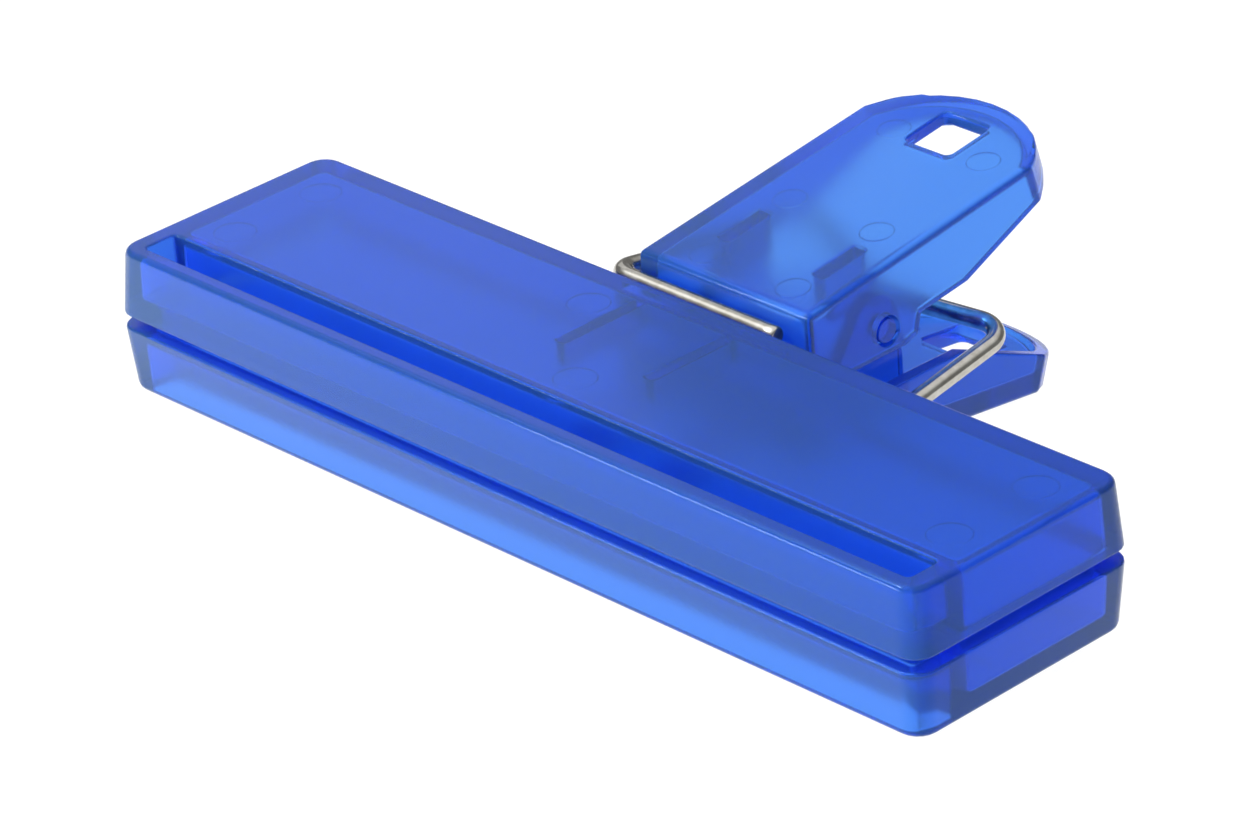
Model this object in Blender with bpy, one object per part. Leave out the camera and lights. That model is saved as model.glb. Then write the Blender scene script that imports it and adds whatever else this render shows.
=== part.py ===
"""Bag clip: two moulded jaw halves that pivot on each other, and one bent wire spring.

Metres, +Z up, +X along the jaws, +Y from the jaws towards the grips. The origin is the middle of the
lower jaw's flat outer face. Shapes are first made about the parting plane, midway between the jaws,
and then lifted by PARTING_HEIGHT.
"""

import collections
import math

import bmesh
import bpy
from mathutils import Vector

MM = 0.001

# Jaw bars
BAR_LENGTH = 101.6 * MM
BAR_DEPTH = 26.8 * MM
BAR_DRAFT = 0.5 * MM
BAR_CORNER = 2.2 * MM
PARTING_HEIGHT = 7.15 * MM
PARTING_GAP = 1.2 * MM
BAR_WALL = 1.6 * MM
BAR_ROOF = 1.5 * MM

# Front pocket of each bar
POCKET_FRONT_Y = -11.2 * MM
POCKET_BACK_Y = -7.6 * MM
POCKET_LENGTH = 96.2 * MM
POCKET_FLOOR = 1.5 * MM
PARTITION = 1.5 * MM
GRIP_RIB_GAP = 0.3 * MM

# Cross ribs under each bar's roof
RIB_X = 5.6 * MM
RIB_THICKNESS = 1.2 * MM
RIB_FRONT_Y = 0.8 * MM
RIB_DEPTH = 2.6 * MM

# Grips. What differs between the halves: the front height and the thickness of the flat plate, the
# side view of the skirt's free edge as (y, height) points, the hole's place, and the outer ears.
Grip = collections.namedtuple("Grip", "front_z plate skirt_edge hole_y with_ears")
UPPER_SKIRT = ((30.0 * MM, 3.0 * MM), (36.2 * MM, 3.75 * MM), (46.6 * MM, 8.05 * MM))
LOWER_SKIRT = ((30.0 * MM, 2.9 * MM), (35.0 * MM, 3.0 * MM), (46.6 * MM, 7.95 * MM))
UPPER_GRIP = Grip(8.25 * MM, 1.4 * MM, UPPER_SKIRT, 45.4 * MM, True)
LOWER_GRIP = Grip(7.8 * MM, 1.9 * MM, LOWER_SKIRT, 46.5 * MM, False)
GRIP_FRONT_Y = 15.75 * MM
GRIP_RISE = 0.128
GRIP_HALF_WIDTH = 10.9 * MM
GRIP_TIP_Y = 51.9 * MM
GRIP_TIP_Z = 12.4 * MM
GRIP_TIP_RADIUS = 12.1 * MM
GRIP_TIP_FLARE = 0.28
GRIP_DRAFT = 0.965
GRIP_DRAFT_HEIGHT = 12.0 * MM
GRIP_WALL = 1.4 * MM
HOLE_WIDTH = 5.6 * MM
HOLE_LENGTH = 5.8 * MM
HOLE_CORNER = 0.6 * MM

# Neck that joins bar and grip below the spring's groove
NECK_TOP = 4.6 * MM
NECK_THICKNESS = 1.9 * MM
NECK_HALF_WIDTH = 10.3 * MM
NECK_FRONT_Y = 12.2 * MM

# Hinge
PIVOT_Y = 25.6 * MM
PIVOT_Z = 2.9 * MM
EAR_REAR_Y = 29.5 * MM
EAR_BOTTOM_Z = 0.6 * MM
EAR_CORNER = 1.6 * MM
INNER_EAR_OUTSIDE_X = 8.7 * MM
INNER_EAR_THICKNESS = 1.6 * MM
INNER_EAR_RADIUS = 3.0 * MM
INNER_EAR_FRONT_Y = 19.0 * MM
INNER_EAR_REAR_Y = 29.6 * MM
INNER_EAR_SHOULDER_Z = -1.5 * MM
STUB_RADIUS = 1.2 * MM
STUB_END_X = 10.7 * MM
STUB_HOLE_RADIUS = 1.5 * MM
FORK_OUTSIDE_X = 6.7 * MM
FORK_THICKNESS = 1.5 * MM
FORK_FRONT_Y = 22.0 * MM
FORK_REAR_Y = 27.5 * MM
FORK_BOTTOM_Z = 4.0 * MM

# Wire spring
WIRE_RADIUS = 0.9 * MM
WIRE_LEG_X = 12.9 * MM
WIRE_FRONT_Y = 14.5 * MM
WIRE_FRONT_Z = 5.87 * MM
WIRE_FREE_END_X = 8.0 * MM
WIRE_REAR_Y = 39.46 * MM
WIRE_REAR_Z = 1.67 * MM
WIRE_MIDDLE_Y = 34.87 * MM
WIRE_BEND = 2.2 * MM
WIRE_MIDDLE_BEND = 6.0 * MM
WIRE_JOINT_GAP = 0.3 * MM
BEND_POINTS = 7

# How far cutters reach past the faces that they cut
OVERCUT = 2.0 * MM

BLUE = (0.01, 0.07, 0.62, 1.0)
STEEL = (0.62, 0.61, 0.57, 1.0)


def clear_scene():
    for obj in list(bpy.data.objects):
        bpy.data.objects.remove(obj, do_unlink=True)


def new_collection(name):
    collection = bpy.data.collections.new(name)
    bpy.context.scene.collection.children.link(collection)
    return collection


def new_material(name, colour, roughness, metallic, transmission):
    material = bpy.data.materials.new(name)
    material.use_nodes = True
    shader = material.node_tree.nodes["Principled BSDF"]
    shader.inputs["Base Color"].default_value = colour
    shader.inputs["Roughness"].default_value = roughness
    shader.inputs["Metallic"].default_value = metallic
    shader.inputs["Transmission Weight"].default_value = transmission
    return material


def link_mesh(name, mesh, collection):
    obj = bpy.data.objects.new(name, mesh)
    collection.objects.link(obj)
    return obj


def as_cutter(obj):
    obj.hide_render = True
    obj.display_type = "WIRE"
    return obj


def boolean(target, other, operation):
    modifier = target.modifiers.new(f"{operation.lower()}_{other.name}", "BOOLEAN")
    modifier.operation = operation
    modifier.object = other


def drafted_box(name, collection, size, wide_z, narrow_z, centre_y, corner, draft):
    """A box with round upright corners, its plan smaller by draft on every side at narrow_z."""
    length, depth = size
    bm = bmesh.new()
    bmesh.ops.create_cube(bm, size=1.0)
    height = abs(narrow_z - wide_z)
    bmesh.ops.scale(bm, vec=(length, depth, height), verts=bm.verts)
    upright = [edge for edge in bm.edges if abs(edge.verts[0].co.z - edge.verts[1].co.z) > height / 2]
    bmesh.ops.bevel(bm, geom=upright, offset=corner, segments=5, profile=0.5, affect="EDGES")
    narrow_side = math.copysign(1.0, narrow_z - wide_z)
    for vertex in bm.verts:
        if vertex.co.z * narrow_side > 0:
            vertex.co.x *= 1.0 - 2.0 * draft / length
            vertex.co.y *= 1.0 - 2.0 * draft / depth
    bmesh.ops.translate(bm, vec=(0.0, centre_y, (wide_z + narrow_z) / 2), verts=bm.verts)
    mesh = bpy.data.meshes.new(name)
    bm.to_mesh(mesh)
    bm.free()
    return link_mesh(name, mesh, collection)


def plain_box(name, collection, low, high):
    size = (high[0] - low[0], high[1] - low[1])
    box = drafted_box(name, collection, size, low[2], high[2], (low[1] + high[1]) / 2, 0.0, 0.0)
    box.location.x = (low[0] + high[0]) / 2
    return box


def curve_to_mesh(curve_object, collection):
    """The mesh of a curve object, with its caps welded on. The curve itself is removed."""
    bpy.context.view_layer.update()
    graph = bpy.context.evaluated_depsgraph_get()
    mesh = bpy.data.meshes.new_from_object(curve_object.evaluated_get(graph))
    bm = bmesh.new()
    bm.from_mesh(mesh)
    bmesh.ops.remove_doubles(bm, verts=bm.verts, dist=0.01 * MM)
    bmesh.ops.recalc_face_normals(bm, faces=bm.faces)
    bm.to_mesh(mesh)
    bm.free()
    name = curve_object.name
    matrix = curve_object.matrix_world.copy()
    bpy.data.objects.remove(curve_object, do_unlink=True)
    obj = link_mesh(name, mesh, collection)
    obj.matrix_world = matrix
    return obj


def extruded_outline(name, collection, outline, thickness):
    """A flat outline in the local XY plane, thickened evenly to both sides of it."""
    curve = bpy.data.curves.new(name, "CURVE")
    curve.dimensions = "2D"
    curve.fill_mode = "BOTH"
    curve.extrude = thickness / 2
    spline = curve.splines.new("POLY")
    spline.points.add(len(outline) - 1)
    for point, (u, v) in zip(spline.points, outline):
        point.co = (u, v, 0.0, 1.0)
    spline.use_cyclic_u = True
    obj = bpy.data.objects.new(name, curve)
    collection.objects.link(obj)
    return curve_to_mesh(obj, collection)


def side_prism(name, collection, outline, centre_x, thickness):
    """A side view outline of (y, z) points, thickened along X."""
    prism = extruded_outline(name, collection, outline, thickness)
    for vertex in prism.data.vertices:
        y, z, x = vertex.co
        vertex.co = (x + centre_x, y, z)
    return prism


def arc_points(centre, radius, start_deg, end_deg, count):
    points = []
    for step in range(count):
        angle = math.radians(start_deg + (end_deg - start_deg) * step / (count - 1))
        points.append((centre[0] + radius * math.cos(angle), centre[1] + radius * math.sin(angle)))
    return points


def grip_outline(inset):
    """Plan of a grip: straight sides that end in shoulders, and one broad arc for the tip."""
    half_width = GRIP_HALF_WIDTH - inset
    radius = GRIP_TIP_RADIUS - inset
    centre_y = GRIP_TIP_Y - GRIP_TIP_RADIUS
    shoulder = math.degrees(math.acos(half_width / radius))
    front_y = GRIP_FRONT_Y + inset
    tip = arc_points((0.0, centre_y), radius, shoulder, 180.0 - shoulder, 15)
    return [(half_width, front_y)] + tip + [(-half_width, front_y)]


def grip_plan_prism(name, collection, inset):
    """The grip's plan as a tall prism. It narrows away from the parting plane, and its tip leans in."""
    tall = 2 * GRIP_DRAFT_HEIGHT
    prism = extruded_outline(name, collection, grip_outline(inset), tall)
    for vertex in prism.data.vertices:
        height = vertex.co.z + tall / 2 - OVERCUT
        vertex.co.x *= 1.0 - (1.0 - GRIP_DRAFT) * height / GRIP_DRAFT_HEIGHT
        if vertex.co.y > GRIP_FRONT_Y + GRIP_HALF_WIDTH:
            vertex.co.y += GRIP_TIP_FLARE * (GRIP_TIP_Z - height)
        vertex.co.z = height
    return prism


def plate_z(grip, y):
    """Height of the outer face of a grip's flat plate."""
    return grip.front_z + GRIP_RISE * (y - GRIP_FRONT_Y)


def skirt_edge_z(grip, y):
    """Height of the skirt's free edge where it slopes up to the tip."""
    (y0, z0), (y1, z1) = grip.skirt_edge[1:]
    return z1 + (z1 - z0) / (y1 - y0) * (y - y1)


def grip_side_outline(grip):
    """Side view of a grip's outer solid. Ears reach down almost to the parting plane."""
    start_y = GRIP_FRONT_Y - OVERCUT
    end_y = GRIP_TIP_Y + 2 * OVERCUT
    if grip.with_ears:
        front = [
            (start_y, EAR_BOTTOM_Z),
            (EAR_REAR_Y - EAR_CORNER, EAR_BOTTOM_Z),
            (EAR_REAR_Y, EAR_BOTTOM_Z + EAR_CORNER / 3),
        ]
    else:
        front = [(start_y, grip.skirt_edge[0][1])]
    tip = [(end_y, skirt_edge_z(grip, end_y)), (end_y, plate_z(grip, end_y))]
    return front + list(grip.skirt_edge) + tip + [(start_y, plate_z(grip, start_y))]


def grip_shell(name, parts, cutters, grip):
    """The grip: a drafted shell, open towards the other grip, with a square hole near its tip."""
    wide = 4 * GRIP_HALF_WIDTH
    shell = grip_plan_prism(name, parts, 0.0)
    side = side_prism(f"{name}_side", cutters, grip_side_outline(grip), 0.0, wide)
    boolean(shell, as_cutter(side), "INTERSECT")

    hollow = grip_plan_prism(f"{name}_hollow", cutters, GRIP_WALL)
    end_y = GRIP_TIP_Y + 2 * OVERCUT
    under_plate = [
        (GRIP_FRONT_Y, -OVERCUT),
        (end_y, -OVERCUT),
        (end_y, plate_z(grip, end_y) - grip.plate),
        (GRIP_FRONT_Y, grip.front_z - grip.plate),
    ]
    below = side_prism(f"{name}_below", cutters, under_plate, 0.0, wide)
    boolean(hollow, as_cutter(below), "INTERSECT")
    boolean(shell, as_cutter(hollow), "DIFFERENCE")

    hole_size = (HOLE_WIDTH, HOLE_LENGTH)
    top = 2 * GRIP_DRAFT_HEIGHT
    hole = drafted_box(f"{name}_hole", cutters, hole_size, 0.0, top, grip.hole_y, HOLE_CORNER, 0.0)
    boolean(shell, as_cutter(hole), "DIFFERENCE")
    return shell


def bar_shell(name, parts, cutters):
    """The jaw bar: a drafted box with a pocket open at its roof, hollow behind the pocket."""
    lip_z = PARTING_GAP / 2
    bar = drafted_box(
        name, parts, (BAR_LENGTH, BAR_DEPTH), lip_z, PARTING_HEIGHT, 0.0, BAR_CORNER, BAR_DRAFT
    )
    partition_back_y = POCKET_BACK_Y + PARTITION
    hollow_back_y = BAR_DEPTH / 2 - BAR_DRAFT - BAR_WALL
    hollow_size = (BAR_LENGTH - 2 * BAR_DRAFT - 2 * BAR_WALL, hollow_back_y - partition_back_y)
    hollow = drafted_box(
        f"{name}_hollow",
        cutters,
        hollow_size,
        lip_z - OVERCUT,
        PARTING_HEIGHT - BAR_ROOF,
        (hollow_back_y + partition_back_y) / 2,
        0.8 * MM,
        0.2 * MM,
    )
    boolean(bar, as_cutter(hollow), "DIFFERENCE")

    pocket_size = (POCKET_LENGTH, POCKET_BACK_Y - POCKET_FRONT_Y)
    pocket = drafted_box(
        f"{name}_pocket",
        cutters,
        pocket_size,
        PARTING_HEIGHT + OVERCUT,
        lip_z + POCKET_FLOOR,
        (POCKET_BACK_Y + POCKET_FRONT_Y) / 2,
        0.5 * MM,
        0.0,
    )
    boolean(bar, as_cutter(pocket), "DIFFERENCE")

    grip_rib = plain_box(
        f"{name}_grip_rib",
        cutters,
        (-hollow_size[0] / 2, POCKET_BACK_Y, GRIP_RIB_GAP / 2),
        (hollow_size[0] / 2, partition_back_y, lip_z + POCKET_FLOOR / 2),
    )
    boolean(bar, as_cutter(grip_rib), "UNION")

    for side, word in ((-1, "left"), (1, "right")):
        rib = plain_box(
            f"{name}_{word}_rib",
            cutters,
            (side * RIB_X - RIB_THICKNESS / 2, RIB_FRONT_Y, PARTING_HEIGHT - BAR_ROOF - RIB_DEPTH),
            (side * RIB_X + RIB_THICKNESS / 2, hollow_back_y + BAR_WALL / 2, PARTING_HEIGHT - BAR_ROOF / 2),
        )
        boolean(bar, as_cutter(rib), "UNION")
    return bar


def neck_block(name, cutters):
    low = (-NECK_HALF_WIDTH, NECK_FRONT_Y, NECK_TOP - NECK_THICKNESS)
    high = (NECK_HALF_WIDTH, GRIP_FRONT_Y + GRIP_WALL / 2, NECK_TOP)
    return as_cutter(plain_box(name, cutters, low, high))


def half_moulding(name, parts, cutters, grip):
    """Bar, neck and grip of one half, as the upper half: roof up, open side down."""
    half = bar_shell(name, parts, cutters)
    shell = grip_shell(f"{name}_grip", cutters, cutters, grip)
    boolean(half, as_cutter(shell), "UNION")
    boolean(half, neck_block(f"{name}_neck", cutters), "UNION")
    return half


def pivot_cylinder(name, cutters, radius, low_x, high_x, segments):
    bm = bmesh.new()
    bmesh.ops.create_cone(
        bm, cap_ends=True, segments=segments, radius1=radius, radius2=radius, depth=high_x - low_x
    )
    mesh = bpy.data.meshes.new(name)
    bm.to_mesh(mesh)
    bm.free()
    cylinder = link_mesh(name, mesh, cutters)
    cylinder.rotation_euler = (0.0, math.pi / 2, 0.0)
    cylinder.location = ((low_x + high_x) / 2, PIVOT_Y, PIVOT_Z)
    return as_cutter(cylinder)


def inner_ear(name, cutters, side):
    """A lower ear: it stands inside the upper half's ear and carries the pivot stub."""
    top = arc_points((PIVOT_Y, PIVOT_Z), INNER_EAR_RADIUS, 20.0, 160.0, 9)
    outline = [
        (INNER_EAR_FRONT_Y, LOWER_GRIP.plate / 2 - plate_z(LOWER_GRIP, INNER_EAR_FRONT_Y)),
        (INNER_EAR_REAR_Y, LOWER_GRIP.plate / 2 - plate_z(LOWER_GRIP, INNER_EAR_REAR_Y)),
        (INNER_EAR_REAR_Y, INNER_EAR_SHOULDER_Z),
    ]
    outline += top + [(INNER_EAR_FRONT_Y, INNER_EAR_SHOULDER_Z)]
    centre_x = side * (INNER_EAR_OUTSIDE_X - INNER_EAR_THICKNESS / 2)
    return as_cutter(side_prism(name, cutters, outline, centre_x, INNER_EAR_THICKNESS))


def fork_rib(name, cutters, side):
    """A rib under the upper grip's plate that keeps the lower ear between itself and the outer ear."""
    inside_x = FORK_OUTSIDE_X - FORK_THICKNESS
    low_x, high_x = sorted((side * inside_x, side * FORK_OUTSIDE_X))
    low = (low_x, FORK_FRONT_Y, FORK_BOTTOM_Z)
    high = (high_x, FORK_REAR_Y, plate_z(UPPER_GRIP, FORK_FRONT_Y) - UPPER_GRIP.plate / 2)
    return as_cutter(plain_box(name, cutters, low, high))


def upper_jaw(parts, cutters, material):
    half = half_moulding("upper_jaw", parts, cutters, UPPER_GRIP)
    for side, word in ((-1, "left"), (1, "right")):
        boolean(half, fork_rib(f"upper_{word}_fork", cutters, side), "UNION")
    bore = pivot_cylinder("upper_bore", cutters, STUB_HOLE_RADIUS, -2 * GRIP_HALF_WIDTH, 2 * GRIP_HALF_WIDTH, 20)
    boolean(half, bore, "DIFFERENCE")
    half.data.materials.append(material)
    return half


def lower_jaw(parts, cutters, material):
    half = half_moulding("lower_jaw", parts, cutters, LOWER_GRIP)
    turned = [half] + [obj for obj in cutters.objects if obj.name.startswith("lower_jaw")]
    for obj in turned:
        obj.rotation_euler.y = math.pi
        obj.location.x = -obj.location.x
    for side, word in ((-1, "left"), (1, "right")):
        boolean(half, inner_ear(f"lower_{word}_ear", cutters, side), "UNION")
        root_x = INNER_EAR_OUTSIDE_X - INNER_EAR_THICKNESS / 2
        low_x, high_x = sorted((side * root_x, side * STUB_END_X))
        boolean(half, pivot_cylinder(f"lower_{word}_stub", cutters, STUB_RADIUS, low_x, high_x, 16), "UNION")
    half.data.materials.append(material)
    return half


def rounded_corner(before, corner, after, radius):
    """Points of the arc that rounds a corner between two straight runs."""
    to_before = (before - corner).normalized()
    to_after = (after - corner).normalized()
    half_angle = to_before.angle(to_after) / 2
    inwards = (to_before + to_after).normalized()
    along = (to_after - to_before).normalized()
    centre = corner + inwards * (radius / math.sin(half_angle))
    sweep = math.pi / 2 - half_angle
    points = []
    for step in range(BEND_POINTS):
        angle = sweep * (2 * step / (BEND_POINTS - 1) - 1)
        points.append(centre + radius * (along * math.sin(angle) - inwards * math.cos(angle)))
    return points


def wire_route():
    """Half of the spring's route, from the middle of its rear run to its lower free end."""
    middle = Vector((0.0, WIRE_MIDDLE_Y, 0.0))
    other_rear = Vector((-WIRE_LEG_X, WIRE_REAR_Y, WIRE_REAR_Z))
    rear = Vector((WIRE_LEG_X, WIRE_REAR_Y, -WIRE_REAR_Z))
    front = Vector((WIRE_LEG_X, WIRE_FRONT_Y, -WIRE_FRONT_Z))
    free_end = Vector((-WIRE_FREE_END_X, WIRE_FRONT_Y, -WIRE_FRONT_Z))
    bend = rounded_corner(other_rear, middle, rear, WIRE_MIDDLE_BEND)
    second_half = [point for point in bend if point.x > WIRE_JOINT_GAP]
    split = bend[BEND_POINTS // 2] + Vector((WIRE_JOINT_GAP / 2, 0.0, 0.0))
    route = [split] + second_half
    route += rounded_corner(middle, rear, front, WIRE_BEND)
    route += rounded_corner(rear, front, free_end, WIRE_BEND)
    return route + [free_end]


def wire_arm(name, parts, route, material):
    curve = bpy.data.curves.new(name, "CURVE")
    curve.dimensions = "3D"
    curve.bevel_depth = WIRE_RADIUS
    curve.bevel_resolution = 2
    curve.use_fill_caps = True
    spline = curve.splines.new("POLY")
    spline.points.add(len(route) - 1)
    for spline_point, point in zip(spline.points, route):
        spline_point.co = (*point, 1.0)
    obj = bpy.data.objects.new(name, curve)
    parts.objects.link(obj)
    arm = curve_to_mesh(obj, parts)
    arm.data.materials.append(material)
    arm.data.shade_smooth()
    arm.data.set_sharp_from_angle(angle=math.radians(40))
    return arm


def wire_spring(parts, material):
    """One bent wire in nature. It is two nodes here, because its arms turn about its rear middle."""
    lower_route = wire_route()
    upper_route = [Vector((-point.x, point.y, -point.z)) for point in lower_route]
    lower = wire_arm("spring_lower_arm", parts, lower_route, material)
    upper = wire_arm("spring_upper_arm", parts, upper_route, material)
    return lower, upper


def new_pivot(name, collection, location):
    empty = bpy.data.objects.new(name, None)
    empty.location = location
    collection.objects.link(empty)
    return empty


def attach(child, parent):
    """Parents without moving the child: the parent carries no rotation of its own."""
    child.parent = parent
    child.matrix_parent_inverse = parent.matrix_basis.inverted()


def main():
    clear_scene()
    parts = new_collection("bag_clip")
    cutters = new_collection("bag_clip_cutters")
    cutters.hide_render = True
    plastic = new_material("blue_plastic", BLUE, 0.15, 0.0, 0.6)
    steel = new_material("nickel_wire", STEEL, 0.2, 1.0, 0.0)

    upper = upper_jaw(parts, cutters, plastic)
    lower = lower_jaw(parts, cutters, plastic)
    lower_arm, upper_arm = wire_spring(parts, steel)

    jaw_axis = new_pivot("jaw_axis", parts, (0.0, PIVOT_Y, PIVOT_Z))
    spring_axis = new_pivot("spring_axis", parts, (0.0, WIRE_MIDDLE_Y, 0.0))
    attach(upper, jaw_axis)
    attach(upper_arm, spring_axis)

    clip = new_pivot("clip", parts, (0.0, 0.0, 0.0))
    free_cutters = [obj for obj in cutters.objects if obj.parent is None]
    for obj in [jaw_axis, spring_axis, lower, lower_arm] + free_cutters:
        obj.parent = clip
    clip.location.z = PARTING_HEIGHT


main()
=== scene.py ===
"""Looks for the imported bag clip: translucent blue mouldings with fillets and ejector marks, one
bright bent wire, a pale floor, soft studio light and the camera.

Lengths of the clip and the camera are in millimetres, and MM turns them into Blender's metres. The
floor's reach, its glow's fade, the lamps and the wire's blend are in metres."""

import math

import bmesh
import bpy
from mathutils import Matrix, Vector
from mathutils.geometry import delaunay_2d_cdt

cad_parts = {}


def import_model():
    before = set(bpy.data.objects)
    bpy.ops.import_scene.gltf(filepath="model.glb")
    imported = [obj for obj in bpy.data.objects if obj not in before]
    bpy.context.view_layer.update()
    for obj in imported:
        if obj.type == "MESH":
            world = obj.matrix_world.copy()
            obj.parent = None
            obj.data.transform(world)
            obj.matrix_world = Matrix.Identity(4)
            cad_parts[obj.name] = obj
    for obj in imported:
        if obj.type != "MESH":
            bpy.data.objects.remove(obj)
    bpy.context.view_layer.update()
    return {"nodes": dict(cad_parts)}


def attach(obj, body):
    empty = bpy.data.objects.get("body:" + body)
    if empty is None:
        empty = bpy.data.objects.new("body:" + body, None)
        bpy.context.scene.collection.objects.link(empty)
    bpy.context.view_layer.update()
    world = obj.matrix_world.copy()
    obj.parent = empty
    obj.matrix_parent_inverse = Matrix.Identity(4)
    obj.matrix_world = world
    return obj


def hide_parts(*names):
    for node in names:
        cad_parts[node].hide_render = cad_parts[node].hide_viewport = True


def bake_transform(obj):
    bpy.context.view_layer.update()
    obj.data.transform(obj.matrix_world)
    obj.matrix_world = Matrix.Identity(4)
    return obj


MM = 0.001
PARTING_Z = 7.15
BAR_HEIGHT = PARTING_Z

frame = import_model()


# ---------------------------------------------------------------- helpers


def link(obj):
    bpy.context.scene.collection.objects.link(obj)
    return obj


def applied(obj):
    """Turns the modified mesh into the object's own."""
    bpy.context.view_layer.update()
    graph = bpy.context.evaluated_depsgraph_get()
    mesh = bpy.data.meshes.new_from_object(obj.evaluated_get(graph))
    obj.modifiers.clear()
    obj.data = mesh
    return obj


def node(tree, kind, **values):
    made = tree.nodes.new(kind)
    for key, value in values.items():
        if key in made.inputs:
            made.inputs[key].default_value = value
        else:
            setattr(made, key, value)
    return made


# ---------------------------------------------------------------- materials


def plastic_material(name):
    material = bpy.data.materials.new(name)
    material.use_nodes = True
    tree = material.node_tree
    shader = tree.nodes["Principled BSDF"]
    shader.inputs["Base Color"].default_value = (0.13, 0.52, 1.0, 1.0)
    shader.inputs["Transmission Weight"].default_value = 0.9
    shader.inputs["IOR"].default_value = 1.4
    shader.inputs["Specular Tint"].default_value = (0.1, 0.4, 1.0, 1.0)
    shader.inputs["Coat Weight"].default_value = 0.18
    shader.inputs["Coat Roughness"].default_value = 0.08
    coords = node(tree, "ShaderNodeTexCoord")
    fine = node(tree, "ShaderNodeTexNoise", Scale=1400.0, Detail=3.0, Roughness=0.6)
    tree.links.new(coords.outputs["Object"], fine.inputs["Vector"])
    broad = node(tree, "ShaderNodeTexNoise", Scale=45.0, Detail=4.0, Roughness=0.55)
    tree.links.new(coords.outputs["Object"], broad.inputs["Vector"])
    sheen = node(tree, "ShaderNodeMapRange")
    sheen.inputs["From Min"].default_value = 0.3
    sheen.inputs["From Max"].default_value = 0.7
    sheen.inputs["To Min"].default_value = 0.21
    sheen.inputs["To Max"].default_value = 0.27
    tree.links.new(broad.outputs["Fac"], sheen.inputs["Value"])
    tree.links.new(sheen.outputs["Result"], shader.inputs["Roughness"])
    bump = node(tree, "ShaderNodeBump", Strength=0.06, Distance=0.00005)
    tree.links.new(fine.outputs["Fac"], bump.inputs["Height"])
    tree.links.new(bump.outputs["Normal"], shader.inputs["Normal"])
    absorb = node(tree, "ShaderNodeVolumeAbsorption")
    absorb.inputs["Color"].default_value = (0.60, 0.60, 0.955, 1.0)
    absorb.inputs["Density"].default_value = 1000.0
    tree.links.new(absorb.outputs["Volume"], tree.nodes["Material Output"].inputs["Volume"])
    return material


def wire_material(name):
    material = bpy.data.materials.new(name)
    material.use_nodes = True
    tree = material.node_tree
    shader = tree.nodes["Principled BSDF"]
    shader.inputs["Metallic"].default_value = 1.0
    coords = node(tree, "ShaderNodeTexCoord")
    noise = node(tree, "ShaderNodeTexNoise", Scale=900.0, Detail=4.0, Roughness=0.6)
    tree.links.new(coords.outputs["Object"], noise.inputs["Vector"])
    ramp = node(tree, "ShaderNodeValToRGB")
    ramp.color_ramp.elements[0].position = 0.35
    ramp.color_ramp.elements[0].color = (0.47, 0.45, 0.40, 1.0)
    ramp.color_ramp.elements[1].position = 0.65
    ramp.color_ramp.elements[1].color = (0.58, 0.57, 0.53, 1.0)
    tree.links.new(noise.outputs["Fac"], ramp.inputs["Fac"])
    tree.links.new(ramp.outputs["Color"], shader.inputs["Base Color"])
    rough = node(tree, "ShaderNodeMapRange")
    rough.inputs["To Min"].default_value = 0.10
    rough.inputs["To Max"].default_value = 0.30
    tree.links.new(noise.outputs["Fac"], rough.inputs["Value"])
    tree.links.new(rough.outputs["Result"], shader.inputs["Roughness"])
    bump = node(tree, "ShaderNodeBump", Strength=0.1, Distance=0.00002)
    tree.links.new(noise.outputs["Fac"], bump.inputs["Height"])
    tree.links.new(bump.outputs["Normal"], shader.inputs["Normal"])
    return material


# The floor glows more in front of the bar, where the bar's front faces reflect it.
FLOOR_GLOW, FRONT_GLOW = 0.99, 1.6
GLOW_FADE_START_Y, GLOW_FADE_END_Y = -0.013, -0.018


def floor_material():
    material = bpy.data.materials.new("floor")
    material.use_nodes = True
    tree = material.node_tree
    shader = tree.nodes["Principled BSDF"]
    shader.inputs["Base Color"].default_value = (0.1, 0.1, 0.1, 1.0)
    shader.inputs["Emission Color"].default_value = (1.0, 1.0, 1.0, 1.0)
    shader.inputs["Roughness"].default_value = 0.9
    shader.inputs["Specular IOR Level"].default_value = 0.0
    coords = node(tree, "ShaderNodeTexCoord")
    split = node(tree, "ShaderNodeSeparateXYZ")
    tree.links.new(coords.outputs["Object"], split.inputs["Vector"])
    glow = node(tree, "ShaderNodeMapRange")
    glow.inputs["From Min"].default_value = GLOW_FADE_START_Y
    glow.inputs["From Max"].default_value = GLOW_FADE_END_Y
    glow.inputs["To Min"].default_value = FLOOR_GLOW
    glow.inputs["To Max"].default_value = FRONT_GLOW
    tree.links.new(split.outputs["Y"], glow.inputs["Value"])
    tree.links.new(glow.outputs["Result"], shader.inputs["Emission Strength"])
    return material


# ---------------------------------------------------------------- mouldings

# Fillet radii: outer rims, other edges, around the pivot, on each bar's 0.06 mm step behind its
# pocket, and on the ejector marks' rims.
FILLET = 0.6
SMALL_FILLET = 0.28
PIVOT_FILLET = 0.12
STEP_FILLET = 0.02
MARK_FILLET = 0.05

# Where those edges are. Heights are measured away from the parting plane, in both mouldings.
NEAR = 0.08
PIVOT = Vector((0.0, 25.6, 10.05))
PIVOT_REACH, EARS_X = 2.0, 6.5
STEP_Y, STEP_HEIGHT = -6.13, 0.6
BAR_END_X, BAR_FRONT_Y, BAR_REAR_Y = 49.0, -12.0, (12.0, 13.5)
GRIP_START_Y, GRIP_FRONT_Y, GRIP_TIP_Y, GRIP_SIDE_X = 15.6, 16.0, 49.8, 9.5

# The grips' plates rise towards the tip. Each grip has the height of its outer face at PLATE_Y, and
# its plate's thickness.
PLATE_Y, PLATE_SLOPE = 15.75, 0.128
UPPER_GRIP = (8.25, 1.4)
LOWER_GRIP = (7.8, 1.9)

WELD = 0.004
FLAT_ANGLE, SHARP_ANGLE = math.radians(1.0), math.radians(27)


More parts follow.
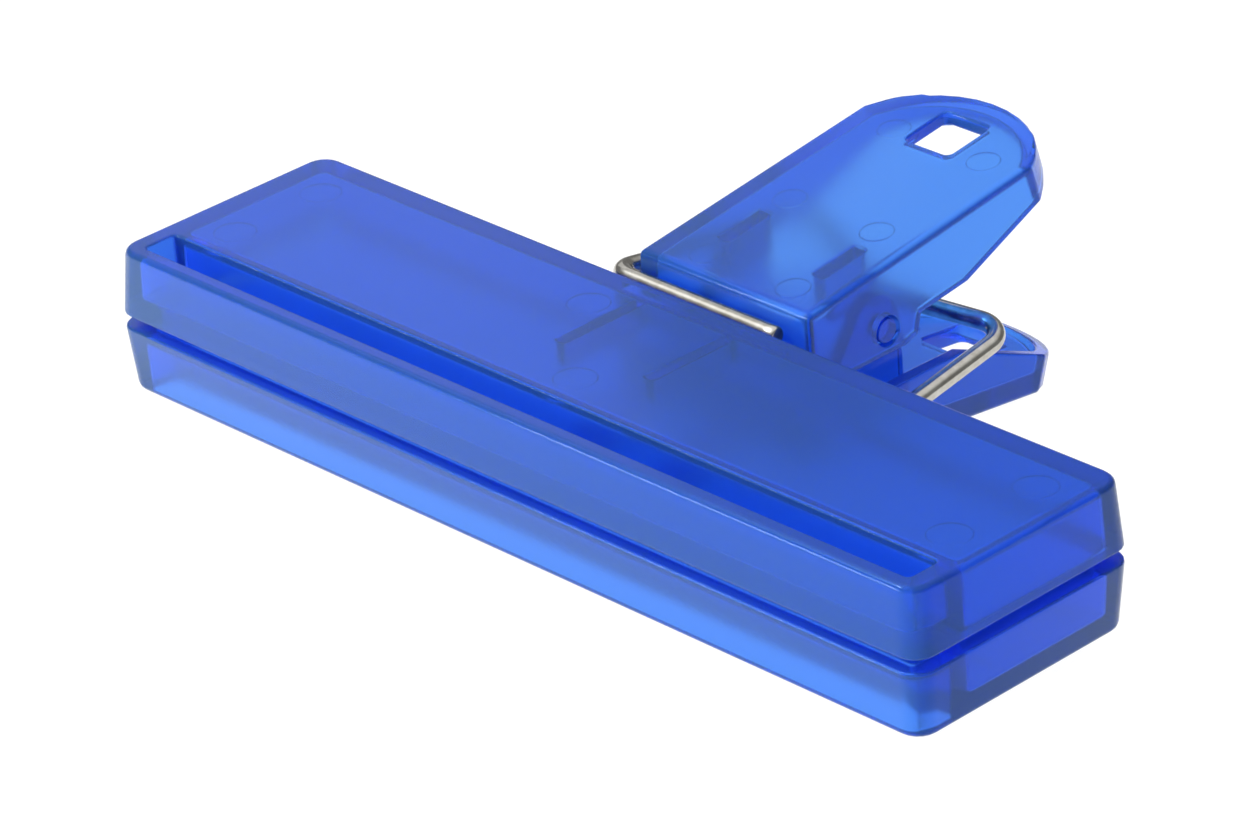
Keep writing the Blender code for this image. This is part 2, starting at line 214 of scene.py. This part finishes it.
def plate_height(y, front):
    return front + PLATE_SLOPE * (y - PLATE_Y)


def fillet_of(mid, upper):
    """Fillet radius in mm of the edge whose middle is at mid, in mm."""
    x, y, z = mid
    height = (z - PARTING_Z) if upper else (PARTING_Z - z)
    if abs(x) > EARS_X and math.hypot(y - PIVOT.y, z - PIVOT.z) < PIVOT_REACH:
        return PIVOT_FILLET
    if abs(y - STEP_Y) < 0.12 and abs(height - STEP_HEIGHT) < 0.06:
        return STEP_FILLET
    on_bar_rim = abs(x) > BAR_END_X or y < BAR_FRONT_Y or BAR_REAR_Y[0] < y < BAR_REAR_Y[1]
    if abs(height - BAR_HEIGHT) < NEAR and on_bar_rim:
        return FILLET
    front, _ = UPPER_GRIP if upper else LOWER_GRIP
    on_grip_rim = abs(x) > GRIP_SIDE_X or y < GRIP_FRONT_Y or y > GRIP_TIP_Y
    if y > GRIP_START_Y and abs(height - plate_height(y, front)) < NEAR and on_grip_rim:
        return FILLET
    return SMALL_FILLET


def moulding(name, source, upper, material):
    """A copy of a CAD moulding with ejector marks and with fillets on its sharp edges."""
    mesh = frame["nodes"][source].data.copy()
    mesh.materials.clear()
    obj = link(bpy.data.objects.new(name, mesh))
    marks = ejector_marks(*(UPPER_GRIP if upper else LOWER_GRIP))
    cut_marks(obj, marks, upper)
    mesh = obj.data
    bm = bmesh.new()
    bm.from_mesh(mesh)
    bmesh.ops.remove_doubles(bm, verts=bm.verts, dist=WELD * MM)
    bmesh.ops.dissolve_limit(
        bm, angle_limit=FLAT_ANGLE, verts=bm.verts, edges=bm.edges, use_dissolve_boundaries=False
    )
    weight = bm.edges.layers.float.new("bevel_weight_edge")
    for edge in bm.edges:
        if len(edge.link_faces) != 2 or edge.calc_face_angle(0.0) < SHARP_ANGLE:
            continue
        mid = (edge.verts[0].co + edge.verts[1].co) / 2 / MM
        radius = MARK_FILLET if edge_on_mark(mid, marks) else fillet_of(mid, upper)
        edge[weight] = radius / FILLET
    bm.to_mesh(mesh)
    bm.free()
    # Slot 1 marks the fillets' faces until the flats are refilled and the normals are set.
    mesh.materials.append(material)
    mesh.materials.append(material)
    bevel = obj.modifiers.new("fillets", "BEVEL")
    bevel.width = FILLET * MM
    bevel.segments = 3
    bevel.limit_method = "WEIGHT"
    bevel.use_clamp_overlap = False
    bevel.loop_slide = False
    bevel.miter_outer = "MITER_ARC"
    bevel.material = 1
    applied(obj)
    refill_flats(obj.data)
    set_normals(obj.data)
    obj.data.materials.clear()
    obj.data.materials.append(material)
    return obj


def flat_groups(bm):
    """Groups of connected faces, other than fillets, that lie in one plane."""
    groups = []
    seen = set()
    for start in bm.faces:
        if start.material_index or start in seen:
            continue
        group, stack = [], [start]
        seen.add(start)
        while stack:
            face = stack.pop()
            group.append(face)
            for edge in face.edges:
                for other in edge.link_faces:
                    if other in seen or other.material_index:
                        continue
                    if other.normal.dot(start.normal) > 0.99995:
                        seen.add(other)
                        stack.append(other)
        groups.append(group)
    return groups


def inside(point, edges):
    """Whether a 2D point is inside the area that the edges bound."""
    x, y = point
    crossings = 0
    for (x0, y0), (x1, y1) in edges:
        if (y0 > y) != (y1 > y) and x < x0 + (x1 - x0) * (y - y0) / (y1 - y0):
            crossings += 1
    return crossings % 2 == 1


def crossing(lines):
    """Indices of the first two edges that cross between their ends, and where along each."""
    for i, (a0, a1) in enumerate(lines):
        along_a = a1 - a0
        for j in range(i + 1, len(lines)):
            b0, b1 = lines[j]
            along_b = b1 - b0
            scale = along_a.cross(along_b)
            if abs(scale) < 1e-9:
                continue
            on_a = (b0 - a0).cross(along_b) / scale
            on_b = (b0 - a0).cross(along_a) / scale
            if 1e-4 < on_a < 1 - 1e-4 and 1e-4 < on_b < 1 - 1e-4:
                return i, j, on_a, on_b
    return None


def open_outline(bm, middle, normal, across, along):
    """Open edges in the plane, with both their ends in 2D millimetres."""
    rim = [
        e for e in bm.edges
        if len(e.link_faces) == 1
        and all(abs((v.co - middle).dot(normal)) < 0.02 * MM for v in e.verts)
    ]
    lines = [
        tuple(Vector((v.co.dot(across), v.co.dot(along))) / MM for v in e.verts) for e in rim
    ]
    return rim, lines


MOST_CROSSINGS = 20


def refill_flats(mesh):
    """Fills each flat that has a face of five or more sides again with triangles."""
    bm = bmesh.new()
    bm.from_mesh(mesh)
    for group in flat_groups(bm):
        if max(len(face.verts) for face in group) < 5:
            continue
        largest = max(group, key=lambda face: face.calc_area())
        normal = largest.normal.copy()
        middle = largest.calc_center_median()
        across = normal.orthogonal().normalized()
        along = normal.cross(across)
        old_outlines = []
        for face in group:
            ring = [Vector((v.co.dot(across), v.co.dot(along))) / MM for v in face.verts]
            old_outlines.append(list(zip(ring, ring[1:] + ring[:1])))
        bmesh.ops.delete(bm, geom=group, context="FACES_ONLY")
        for _ in range(MOST_CROSSINGS):
            rim, lines = open_outline(bm, middle, normal, across, along)
            found = crossing(lines)
            if not found:
                break
            i, j, on_a, on_b = found
            split_a = bmesh.utils.edge_split(rim[i], rim[i].verts[0], on_a)[1]
            split_b = bmesh.utils.edge_split(rim[j], rim[j].verts[0], on_b)[1]
            bmesh.ops.weld_verts(bm, targetmap={split_b: split_a})
        verts = sorted({v for e in rim for v in e.verts}, key=lambda v: tuple(v.co))
        index = {v: i for i, v in enumerate(verts)}
        flat = [Vector((v.co.dot(across), v.co.dot(along))) / MM for v in verts]
        pairs = [(index[e.verts[0]], index[e.verts[1]]) for e in rim]
        made = delaunay_2d_cdt(flat, pairs, [], 0, 1e-5)
        points, triangles, origins = made[0], made[2], made[3]
        for triangle in triangles:
            centre = sum((points[i] for i in triangle), Vector((0, 0))) / 3
            if not any(inside(centre, outline) for outline in old_outlines):
                continue
            if not all(origins[i] for i in triangle):
                continue
            corners = [verts[origins[i][0]] for i in triangle]
            if len(set(corners)) < 3:
                continue
            face = bm.faces.new(corners)
            face.normal_update()
            if face.normal.dot(normal) < 0:
                face.normal_flip()
    loose = [e for e in bm.edges if not e.link_faces]
    bmesh.ops.delete(bm, geom=loose, context="EDGES")
    bm.to_mesh(mesh)
    bm.free()


# Cosines of the angles between flats that share one normal, and between the flats of a round wall
# that shade as one surface (about 30 degrees).
ONE_NORMAL, ROUND_WALL = 0.9999, 0.86


def set_normals(mesh):
    """Smooth fillets and round walls that run into truly flat faces."""
    for polygon in mesh.polygons:
        polygon.use_smooth = True
    around = [[] for _ in mesh.vertices]
    for polygon in mesh.polygons:
        if polygon.material_index:
            continue
        for vertex in polygon.vertices:
            known = around[vertex]
            if all(polygon.normal.dot(n) < ONE_NORMAL for n in known):
                known.append(polygon.normal.copy())
    smooth = [v.vector.copy() for v in mesh.vertex_normals]
    normals = [None] * len(mesh.loops)
    for polygon in mesh.polygons:
        for corner_index in polygon.loop_indices:
            vertex = mesh.loops[corner_index].vertex_index
            known = around[vertex]
            if not known:
                normals[corner_index] = smooth[vertex]
                continue
            nearest = max(known, key=lambda n: n.dot(polygon.normal))
            kin = [n for n in known if n.dot(nearest) > ROUND_WALL]
            normals[corner_index] = sum(kin, Vector()).normalized()
    mesh.normals_split_custom_set(normals)


MARK_DEPTH = 0.14
BAR_MARK_RADIUS, BAR_ROOF = 2.0, 5.65
BAR_MARKS = [(-45.0, 7.6), (-45.0, -3.0), (45.0, 7.6), (45.0, -3.0), (-8.9, 7.6), (0.7, -3.3)]
GRIP_MARK_RADIUS = 1.6
GRIP_MARKS = [(-5.45, 19.3), (5.45, 19.3), (-5.45, 30.2), (5.45, 30.2), (-5.6, 44.25), (5.6, 44.25)]


def ejector_marks(front, plate):
    """Each mark's x, y, radius and height from the parting plane, in mm."""
    marks = [(x, y, BAR_MARK_RADIUS, BAR_ROOF) for x, y in BAR_MARKS]
    marks += [(x, y, GRIP_MARK_RADIUS, plate_height(y, front) - plate) for x, y in GRIP_MARKS]
    return marks


def edge_on_mark(mid, marks):
    """Whether an edge's middle, in mm, lies on the rim of an ejector mark."""
    return any(abs(math.hypot(mid[0] - x, mid[1] - y) - r) < 0.06 for x, y, r, _ in marks)


def cut_marks(obj, marks, upper):
    """Shallow round ejector marks in the plates' inner faces."""
    side = 1.0 if upper else -1.0
    bm = bmesh.new()
    for x, y, radius, height in marks:
        tilt = math.atan(PLATE_SLOPE) * side if y > PLATE_Y else 0.0
        place = Matrix.Translation(Vector((x, y, PARTING_Z + side * height)) * MM)
        bmesh.ops.create_cone(
            bm,
            cap_ends=True,
            segments=40,
            radius1=radius * MM,
            radius2=radius * MM,
            depth=2.0 * MARK_DEPTH * MM,
            matrix=place @ Matrix.Rotation(tilt, 4, "X"),
        )
    mesh = bpy.data.meshes.new("marks")
    bm.to_mesh(mesh)
    bm.free()
    cutter = link(bpy.data.objects.new("marks", mesh))
    modifier = obj.modifiers.new("marks", "BOOLEAN")
    modifier.operation = "DIFFERENCE"
    modifier.object = cutter
    applied(obj)
    bpy.data.objects.remove(cutter, do_unlink=True)


# ---------------------------------------------------------------- wire

WIRE_RADIUS = 0.9
WIRE_SIDES = 28
REAR_BEND, CORNER_BEND = 6.0, 2.2
REAR_POINTS, CORNER_POINTS = 13, 12
LONGEST_STEP = 1.2

# Each cut end is rounded in three rings: how far in each is, and how much narrower than the wire.
WIRE_END = [(0.0, 0.22), (0.08, 0.10), (0.22, 0.0)]


def corner(before, at, after, radius, count):
    """Points along a bend of the given radius at one corner of the wire's route."""
    to_before = (before - at).normalized()
    to_after = (after - at).normalized()
    half = to_before.angle(to_after) / 2
    inwards = (to_before + to_after).normalized()
    along = (to_after - to_before).normalized()
    centre = at + inwards * (radius / math.sin(half))
    sweep = math.pi / 2 - half
    points = []
    for step in range(count):
        angle = sweep * (2 * step / (count - 1) - 1)
        points.append(centre + radius * (along * math.sin(angle) - inwards * math.cos(angle)))
    return points


def wire_route():
    """The wire's centre line from one cut end to the other, in mm."""
    middle = Vector((0.0, 34.87, 0.0))
    rear = Vector((12.9, 39.46, -1.67))
    front = Vector((12.9, 14.5, -5.87))
    end = Vector((-8.0, 14.5, -5.87))
    turned_rear = Vector((-rear.x, rear.y, -rear.z))
    lower = corner(turned_rear, middle, rear, REAR_BEND, REAR_POINTS)[REAR_POINTS // 2:]
    lower += corner(middle, rear, front, CORNER_BEND, CORNER_POINTS)
    lower += corner(rear, front, end, CORNER_BEND, CORNER_POINTS)
    lower.append(end)
    upper = [Vector((-p.x, p.y, -p.z)) for p in lower[1:]]
    route = list(reversed(upper)) + lower
    return [p + Vector((0, 0, PARTING_Z)) for p in route]


def refined(route):
    """The route with no step longer than LONGEST_STEP, so that it bends smoothly at the joint."""
    points = [route[0]]
    for a, b in zip(route, route[1:]):
        count = max(1, math.ceil((b - a).length / LONGEST_STEP))
        points += [a.lerp(b, (i + 1) / count) for i in range(count)]
    return points


def wire(material):
    points = refined(wire_route())
    bm = bmesh.new()
    rings = []
    normal = Vector((0.0, 0.0, 1.0))
    last = len(points) - 1
    for i, point in enumerate(points):
        along = (points[min(i + 1, last)] - points[max(i - 1, 0)]).normalized()
        normal = (normal - along * normal.dot(along)).normalized()
        across = along.cross(normal)
        spots = [(point, WIRE_RADIUS)]
        if i in (0, last):
            inward = along if i == 0 else -along
            spots = [(point + inward * inset, WIRE_RADIUS - less) for inset, less in WIRE_END]
            if i == last:
                spots.reverse()
        for centre, radius in spots:
            ring = []
            for k in range(WIRE_SIDES):
                angle = 2 * math.pi * k / WIRE_SIDES
                spot = centre + radius * (normal * math.cos(angle) + across * math.sin(angle))
                ring.append(bm.verts.new(spot * MM))
            rings.append(ring)
    for first, second in zip(rings, rings[1:]):
        for k in range(WIRE_SIDES):
            n = (k + 1) % WIRE_SIDES
            bm.faces.new((first[k], first[n], second[n], second[k]))
    bm.faces.new(list(reversed(rings[0])))
    bm.faces.new(rings[-1])
    bmesh.ops.recalc_face_normals(bm, faces=bm.faces)
    for face in bm.faces:
        face.smooth = len(face.verts) == 4
    mesh = bpy.data.meshes.new("wire_spring")
    bm.to_mesh(mesh)
    bm.free()
    obj = link(bpy.data.objects.new("wire_spring", mesh))
    obj.data.materials.append(material)
    return obj


# ---------------------------------------------------------------- surroundings

# The clip leans back until the lower bar's front edge and the lower grip's tip both rest on the
# floor. The CAD keeps the bar level, so the floor is tilted instead.
FLOOR_FRONT_Y, FLOOR_REAR_Y, FLOOR_REAR_Z = -12.5, 51.4, -5.3
FLOOR_GAP = 0.05
FLOOR_REACH = 4.0


def floor():
    slope = FLOOR_REAR_Z / (FLOOR_REAR_Y - FLOOR_FRONT_Y)
    bm = bmesh.new()
    corners = []
    for side_x, side_y in ((-1, -1), (1, -1), (1, 1), (-1, 1)):
        y = side_y * FLOOR_REACH
        z = slope * (y - FLOOR_FRONT_Y * MM) - FLOOR_GAP * MM
        corners.append(bm.verts.new((side_x * FLOOR_REACH, y, z)))
    bm.faces.new(corners)
    mesh = bpy.data.meshes.new("floor")
    bm.to_mesh(mesh)
    bm.free()
    obj = link(bpy.data.objects.new("floor", mesh))
    mesh.materials.append(floor_material())


def area_light(name, place, target, size, energy):
    data = bpy.data.lights.new(name, "AREA")
    data.shape = "RECTANGLE"
    data.size, data.size_y = size
    data.energy = energy
    obj = link(bpy.data.objects.new(name, data))
    obj.location = place
    direction = Vector(target) - Vector(place)
    obj.rotation_euler = direction.to_track_quat("-Z", "Y").to_euler()


def world():
    made = bpy.data.worlds.new("studio")
    bpy.context.scene.world = made
    made.use_nodes = True
    tree = made.node_tree
    background = tree.nodes["Background"]
    background.inputs["Color"].default_value = (1.0, 1.0, 1.0, 1.0)
    coords = node(tree, "ShaderNodeTexCoord")
    split = node(tree, "ShaderNodeSeparateXYZ")
    tree.links.new(coords.outputs["Generated"], split.inputs["Vector"])
    sky = node(tree, "ShaderNodeMapRange")
    sky.inputs["From Min"].default_value = 0.45
    sky.inputs["From Max"].default_value = 0.80
    sky.inputs["To Min"].default_value = 0.22
    sky.inputs["To Max"].default_value = 1.0
    tree.links.new(split.outputs["Z"], sky.inputs["Value"])
    tree.links.new(sky.outputs["Result"], background.inputs["Strength"])


# Solved from the bar's corners in the photograph: angles in degrees, lengths in mm.
AZIMUTH, ELEVATION, ROLL = 47.413, 27.704, -3.787
DISTANCE, OFFSET_RIGHT, OFFSET_UP = 526.11, -2.088, -1.068
FOCAL_PIXELS, FRAME_WIDTH = 5960.2, 1250
SENSOR_WIDTH = 36.0


def camera():
    az, el, roll = map(math.radians, (AZIMUTH, ELEVATION, ROLL))
    back = Vector((math.sin(az) * math.cos(el), -math.cos(az) * math.cos(el), math.sin(el)))
    right = Vector((0, 0, 1)).cross(back).normalized()
    up = back.cross(right)
    turned_right = right * math.cos(roll) + up * math.sin(roll)
    turned_up = up * math.cos(roll) - right * math.sin(roll)
    place = back * DISTANCE - turned_right * OFFSET_RIGHT - turned_up * OFFSET_UP
    place += Vector((0, 0, PARTING_Z))
    data = bpy.data.cameras.new("camera")
    data.sensor_width = SENSOR_WIDTH
    data.lens = FOCAL_PIXELS * SENSOR_WIDTH / FRAME_WIDTH
    data.clip_start = 0.01
    obj = link(bpy.data.objects.new("camera", data))
    basis = Matrix((turned_right, turned_up, back)).transposed()
    obj.matrix_world = Matrix.Translation(place * MM) @ basis.to_4x4()
    bpy.context.scene.camera = obj


# ---------------------------------------------------------------- build

blue = plastic_material("blue_plastic_clear")
upper = moulding("upper_moulding", "upper_jaw", True, blue)
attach(upper, "upper_half")
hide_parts("upper_jaw")

lower = moulding("lower_moulding", "lower_jaw", False, blue)
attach(lower, "lower_half")
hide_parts("lower_jaw")

spring = wire(wire_material("nickel_wire_bright"))
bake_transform(spring)
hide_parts("spring_lower_arm")
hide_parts("spring_upper_arm")

floor()
world()
area_light("key", (-0.25, -0.15, 0.55), (0, 0.01, 0), (0.5, 0.4), 0.6)
area_light("glint", (-0.22, -0.30, 0.50), (0, 0.01, 0), (0.06, 0.06), 1.6)
area_light("rear_left", (-0.38, 0.22, 0.20), (-0.06, 0.0, 0.01), (0.2, 0.2), 0.07)
area_light("front_left", (-0.25, -0.50, 0.12), (0.0, 0.0, 0.01), (0.3, 0.2), 2.4)
camera()
bpy.context.scene.view_settings.view_transform = "Standard"
